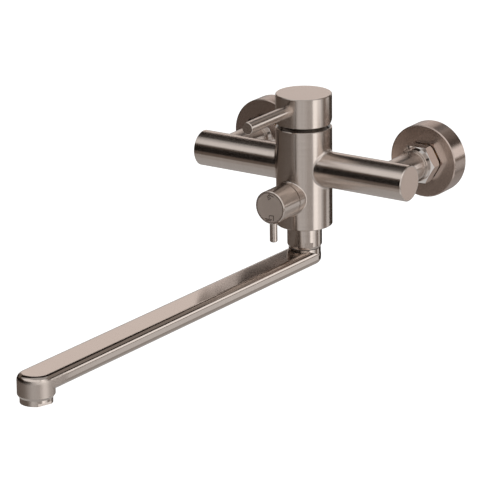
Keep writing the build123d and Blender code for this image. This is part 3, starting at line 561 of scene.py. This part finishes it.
def matt_sides(tree, place, matt_from, matt_to, amount):
    """More roughness on the upright faces of one end."""
    depth = put(tree, "ShaderNodeSeparateXYZ", {0: place.outputs["Object"]}).outputs["Y"]
    end = remap(tree, depth, (matt_from, matt_to), (0.0, amount))
    upwards = put(tree, "ShaderNodeSeparateXYZ", {0: place.outputs["Normal"]}).outputs["Z"]
    upright = remap(tree, math_node(tree, "ABSOLUTE", upwards), upright_range)
    return math_node(tree, "MULTIPLY", end, upright)


print("steel colour:", steel_colour)

# %% Satin steel
ridge_height = 0.00004


def satin_steel(name, lines, roughness=0.22, smear=0.85, bump=0.03, matt_end=None, tone=plain_tone):
    """Brushed steel with lines from one of the grinding directions, and a matt end where one is given."""
    material, tree, shader = new_material(name)
    place = put(tree, "ShaderNodeTexCoord")
    brush, direction = lines(tree, place)
    tree.links.new(brushed_tint(tree, brush, tone), shader.inputs["Base Color"])
    rough = brushed_roughness(tree, brush, roughness)
    if matt_end:
        rough = math_node(tree, "ADD", rough, matt_sides(tree, place, *matt_end))
    tree.links.new(rough, shader.inputs["Roughness"])
    inputs = {"Height": brush.outputs["Line"], "Strength": bump, "Distance": ridge_height}
    tree.links.new(put(tree, "ShaderNodeBump", inputs).outputs["Normal"], shader.inputs["Normal"])
    across = vector_node(tree, "CROSS_PRODUCT", place.outputs["Normal"], direction)
    to_world = {"vector_type": "VECTOR", "convert_from": "OBJECT", "convert_to": "WORLD"}
    smear_direction = put(tree, "ShaderNodeVectorTransform", {"Vector": across}, **to_world)
    tree.links.new(smear_direction.outputs["Vector"], shader.inputs["Tangent"])
    shader.inputs["Metallic"].default_value = 1.0
    shader.inputs["Anisotropic"].default_value = smear
    return material


print("satin steel is ready")

# %% [markdown]
# ## Steel pieces
#
# Each piece gets the steel with its own axis. One material for all would be simpler, but its lines could follow only
# one axis, and on all other pieces they would run the wrong way. The end plugs and flanges are a slightly different
# tint, and the index disc in the knob is pale and matt. The spout is smoother, with matt sides at its cast tip.

# %% Bars, body, cap and collar
plug_tone = (1.06, 0.98, 0.94)
body_roughness = 0.24

bar_lines = turned_about(along_x, (0.0, barrel_centre[1], bar_height))
upright_lines = turned_about(along_z, barrel_centre)
dress(satin_steel("satin_bar", bar_lines), "bar_left", "bar_right")
dress(satin_steel("satin_plug", bar_lines, tone=plug_tone), "bar_end_plug_left", "bar_end_plug_right")
dress(satin_steel("satin_body", turned_body, roughness=body_roughness), "mixer_body")
dress(satin_steel("satin_upright", upright_lines, roughness=body_roughness), "handle_cap", "spout_bushing")

# %% Inlets
inlets = (("left", -0.075), ("right", 0.075))
flange_tone = (0.86, 0.80, 0.78)

for side, inlet_x in inlets:
    inlet_lines = turned_about(along_y, (inlet_x, 0, bar_height))
    dress(satin_steel("satin_inlet_" + side, inlet_lines), "inlet_stub_" + side)
    dress(satin_steel("satin_flange_" + side, inlet_lines, tone=flange_tone), "wall_flange_" + side)

# %% Knob, pin and lever
index_tone = (1.3, 1.3, 1.3)
pin_axis = (0, -0.1195, 0)
lever_axis = (0, 0, 0.0575)

knob_lines = turned_about(along_y, (0, 0, knob_height))
index_steel = satin_steel("matt_index", knob_lines, roughness=0.55, smear=0.2, tone=index_tone)
dress(satin_steel("satin_knob", knob_lines), "diverter_knob")
dress(index_steel, "diverter_index_disc")
dress(satin_steel("satin_pin", turned_about(along_z, pin_axis)), "diverter_pin")
dress(satin_steel("satin_lever", turned_about(along_y, lever_axis)), "lever_rod")

# %% Spout and aerator
cast_tip = (-0.404, -0.414, 0.26)  # where its sides begin to be matt, where they are, and by how much
aerator_axis = (0, -0.4245, 0)

spout_steel = satin_steel("satin_spout", ground_across, roughness=0.13, smear=0.6, bump=0.002, matt_end=cast_tip)
dress(spout_steel, "spout_arm")
dress(satin_steel("satin_aerator", turned_about(along_z, aerator_axis)), "aerator_shell")

# %% [markdown]
# ## Other finishes
#
# The union nuts are ground brighter, and the dome under the cap is polished chrome. Its colour is darkened well below
# real chrome as painted shade of the narrow gap between cap and barrel. Brass, steel screws, plastic, ceramic and
# rubber are mostly inside, and show where the mixer is opened or seen from behind and below. Each could have a graph
# of its own. One graph with five values does for all, because they differ only in colour, gloss and grain.

# %% Plain finish
gloss_spread = 0.2
grain_bump = 0.05
grain_height = 0.0001


def plain_finish(name, colour, metallic, roughness, grain_scale, spread):
    """A finish with a fine grain in its colour and roughness."""
    material, tree, shader = new_material(name)
    place = put(tree, "ShaderNodeTexCoord").outputs["Object"]
    noise = {"Vector": place, "Scale": grain_scale, "Detail": 3.0}
    grain = put(tree, "ShaderNodeTexNoise", noise).outputs["Fac"]
    shades = ((*((1 + change) * c for c in colour), 1) for change in (-spread, spread))
    tree.links.new(between(tree, grain, *shades), shader.inputs["Base Color"])
    limits = (roughness * (1 - gloss_spread), roughness * (1 + gloss_spread))
    tree.links.new(remap(tree, grain, target=limits), shader.inputs["Roughness"])
    inputs = {"Height": grain, "Strength": grain_bump, "Distance": grain_height}
    tree.links.new(put(tree, "ShaderNodeBump", inputs).outputs["Normal"], shader.inputs["Normal"])
    shader.inputs["Metallic"].default_value = metallic
    return material


print("plain finish is ready")

# %% Nuts, dome and inner pieces
# the record's slot, then the finish: name, colour, metallic, roughness, grain and its spread
finishes = (
    ("polished_steel", "ground_nut", (0.88, 0.82, 0.78), 1.0, 0.13, 900.0, 0.05),
    # the dome's colour is far darker than real chrome: painted shade of the narrow gap under the cap
    ("polished_chrome", "polished_chrome", (0.24, 0.23, 0.22), 1.0, 0.03, 300.0, 0.02),
    ("brass", "machined_brass", (0.72, 0.53, 0.27), 1.0, 0.30, 1500.0, 0.08),
    ("steel", "turned_screws", (0.45, 0.44, 0.43), 1.0, 0.30, 1500.0, 0.06),
    ("white_plastic", "white_plastic", (0.80, 0.80, 0.78), 0.0, 0.42, 700.0, 0.03),
    ("ceramic", "lapped_ceramic", (0.84, 0.83, 0.80), 0.0, 0.25, 1200.0, 0.02),
    ("rubber", "black_rubber", (0.03, 0.03, 0.03), 0.0, 0.60, 900.0, 0.15),
)

slot_nodes = {}
for row in frame["record"]["subparts"]:
    slot_nodes.setdefault(row["material_slot"], []).append(row["node"])
for slot, *finish in finishes:
    dress(plain_finish(*finish), *slot_nodes[slot])
# the slip ring shows as a dark line under the collar
dress(plain_finish("dark_slip_ring", (0.05, 0.045, 0.042), 0.0, 0.45, 700.0, 0.10), "spout_slip_ring")

# %% [markdown]
# ## Threads on the wall studs
#
# Behind the flanges, each eccentric union ends in a stud that screws into the wall, with a pipe thread of 14 turns to
# the inch. In CAD it is a plain cylinder. The thread could be a bump in the brass, but its outline would stay smooth.
# A lathe cuts a thread with a pointed tool that moves along the turning stud, and the same is done here: a triangle
# is swept along a helix, and the groove that it makes is taken out of a copy of the union.

# %% Thread cutter
thread_pitch = 0.001814
thread_radius = 0.01048
thread_depth = 0.00116
thread_turns = 9
steps_per_turn = 36
cutter_overlap = 0.00012  # of the cutting triangle, outside the stud
cutter_run_out = 0.0012  # beyond the stud's end
triangle_height = 1.5  # of an even triangle, in radii of the circle around it


def thread_cutter(stud_end):
    """A helix of triangles, from beyond the stud's end back along the stud."""
    fresh_start()
    reach = (thread_depth + cutter_overlap) / triangle_height
    middle = thread_radius - thread_depth + reach
    bpy.ops.mesh.primitive_circle_add(
        vertices=3, radius=reach, location=(middle, 0, 0), rotation=(0, 0, radians(90))
    )
    cutter = bpy.context.object
    apply_place()
    helix = cutter.modifiers.new("helix", "SCREW")
    helix.axis = "Y"
    helix.angle = radians(360) * thread_turns
    helix.screw_offset = -thread_pitch * thread_turns
    helix.steps = helix.render_steps = steps_per_turn * thread_turns
    bpy.ops.object.modifier_apply(modifier=helix.name)
    bpy.ops.object.mode_set(mode="EDIT")
    bpy.ops.mesh.select_all(action="SELECT")
    bpy.ops.mesh.fill_holes(sides=3)
    bpy.ops.mesh.select_all(action="SELECT")
    bpy.ops.mesh.normals_make_consistent(inside=False)
    bpy.ops.object.mode_set(mode="OBJECT")
    cutter.location = stud_end + Vector((0, cutter_run_out, 0))
    apply_place()
    return cutter


print("thread cutter of", thread_turns, "turns is ready")

# %% Cutting helpers
merge_distance = 0.000001
smooth_angle = radians(30)
stud_end_limit = 0.97  # of the normal along the stud


def merged_copy(node, name):
    """A copy of a CAD node, with its loose triangles merged."""
    fresh_start()
    piece = bpy.data.objects.new(name, nodes[node].data.copy())
    bpy.context.collection.objects.link(piece)
    piece.select_set(True)
    bpy.context.view_layer.objects.active = piece
    bpy.ops.object.mode_set(mode="EDIT")
    bpy.ops.mesh.select_all(action="SELECT")
    bpy.ops.mesh.remove_doubles(threshold=merge_distance)
    bpy.ops.object.mode_set(mode="OBJECT")
    return piece


def cut_thread(piece, cutter):
    """Take the cutter out of a piece, and shade it smooth up to its edges, with flat end faces."""
    cut = piece.modifiers.new("cut", "BOOLEAN")
    cut.operation = "DIFFERENCE"
    cut.solver = "EXACT"
    cut.object = cutter
    bpy.ops.object.modifier_apply(modifier=cut.name)
    bpy.data.objects.remove(cutter)
    bpy.ops.object.shade_smooth_by_angle(angle=smooth_angle)
    select_where(piece, "FACE", lambda face: face.normal.y > stud_end_limit)
    bpy.ops.mesh.faces_shade_flat()
    bpy.ops.object.mode_set(mode="OBJECT")


print("cutting helpers are ready")

# %% Cut the threads
for side, inlet_x in inlets:
    node = "eccentric_union_" + side
    cutter = thread_cutter(Vector((inlet_x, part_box(node)[1][1], 0.0)))
    union = merged_copy(node, "threaded_union_" + side)
    cut_thread(union, cutter)
    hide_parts(node)
    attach(union, "mixer")
    print(union.name, "with", len(union.data.polygons), "faces")

# %% [markdown]
# ## Pictures on the knob
#
# The index disc in the knob's face carries two small etched pictures: a hand shower at the top, where the pin points
# for the shower, and a spout over water at the bottom, where it points in the picture. They could be drawn in the
# material, but at this size a few thin strokes stay sharper as meshes. A straight stroke starts as a flat round plate
# and is stretched to a slot. A bent one is a small face, spun about a centre.

# %% Straight strokes
stroke_width = 0.00062
stroke_thickness = 0.0001
stroke_corners = 12
mm_per_metre = 1000
disc_low, disc_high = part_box("diverter_index_disc")
disc_face = disc_low[1]


def straight_stroke(picture_z, start, end):
    """A slot shape between two points, given in millimetres from the picture's middle."""
    fresh_start()
    first, last = (Vector((x, 0, z)) / mm_per_metre for x, z in (start, end))
    run = last - first
    bpy.ops.mesh.primitive_cylinder_add(
        vertices=stroke_corners, radius=stroke_width / 2, depth=stroke_thickness, rotation=(radians(90), 0, 0)
    )
    stroke = bpy.context.object
    apply_place()
    select_where(stroke, "VERT", lambda vertex: vertex.co.x > 0)
    bpy.ops.transform.translate(value=(run.length, 0, 0))
    bpy.ops.object.mode_set(mode="OBJECT")
    stroke.rotation_euler = (0, -atan2(run.z, run.x), 0)
    stroke.location = first + Vector((0, disc_face, picture_z))
    return stroke


print("strokes lie at", round(disc_face, 5))

# %% Bent strokes
bend_steps = 10


def bent_stroke(picture_z, centre, radius, sweep):
    """Part of a ring, from the left of its centre upwards, in millimetres and degrees."""
    fresh_start()
    middle = Vector((centre[0] / mm_per_metre, disc_face, picture_z + centre[1] / mm_per_metre))
    bpy.ops.mesh.primitive_plane_add(size=1.0, location=middle - Vector((radius / mm_per_metre, 0, 0)))
    stroke = bpy.context.object
    stroke.scale = (stroke_width, stroke_thickness, 1.0)
    apply_place()
    bpy.ops.object.mode_set(mode="EDIT")
    bpy.ops.mesh.select_all(action="SELECT")
    bpy.ops.mesh.spin(steps=bend_steps, angle=radians(-sweep), center=middle, axis=(0, 1, 0))
    bpy.ops.mesh.select_all(action="SELECT")
    bpy.ops.mesh.remove_doubles(threshold=merge_distance)
    bpy.ops.mesh.normals_make_consistent(inside=False)
    bpy.ops.object.mode_set(mode="OBJECT")
    return stroke


print("bent strokes have", bend_steps, "steps")

# %% Shower
disc_middle = (disc_low[2] + disc_high[2]) / 2
shower_z = disc_middle + 0.0084

strokes = [
    straight_stroke(shower_z, (-2.3, 0.7), (0.1, 2.1)),
    straight_stroke(shower_z, (-1.0, 1.5), (-0.4, 2.4)),
    straight_stroke(shower_z, (-0.4, 2.4), (3.3, 1.0)),
]
# three jets side by side, each of two drops
for jet in range(3):
    for fall in (0.0, 1.4):
        x = -1.9 + 0.95 * jet + 0.45 * fall
        z = -0.2 + 0.55 * jet - 0.9 * fall
        strokes.append(straight_stroke(shower_z, (x, z), (x + 0.25, z - 0.5)))
print("shower of", len(strokes), "strokes")

# %% Spout over water
spout_z = disc_middle - 0.0081

strokes += [
    straight_stroke(spout_z, (3.4, -1.6), (3.4, 2.0)),
    straight_stroke(spout_z, (0.4, 1.9), (3.4, 1.9)),
    bent_stroke(spout_z, (0.4, 0.9), 1.0, 90),
    straight_stroke(spout_z, (-0.6, 0.9), (-0.6, 0.5)),
    straight_stroke(spout_z, (-0.6, -0.3), (-0.6, -0.7)),
]
# two lines of water, the lower one shorter
for row in (0, 1):
    strokes.append(straight_stroke(spout_z, (-4.4 + row, -1.4 - row), (1.8 - row, -1.4 - row)))
print("both pictures have", len(strokes), "strokes")

# %% Join the strokes
stroke_step = 0.000002  # each stroke lies a little over the last, where they cross
etched_colour = (0.045, 0.031, 0.024)

fresh_start()
for number, stroke in enumerate(strokes):
    stroke.location.y -= stroke_step * number
    stroke.select_set(True)
bpy.context.view_layer.objects.active = strokes[0]
apply_place()
bpy.ops.object.join()
knob_pictures = bpy.context.object
knob_pictures.name = "knob_pictures"
knob_pictures.data.materials.append(plain_finish("etched_mark", etched_colour, 0.0, 0.7, 2500.0, 0.25))
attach(knob_pictures, "diverter")
print(knob_pictures.name, "with", len(knob_pictures.data.polygons), "faces")
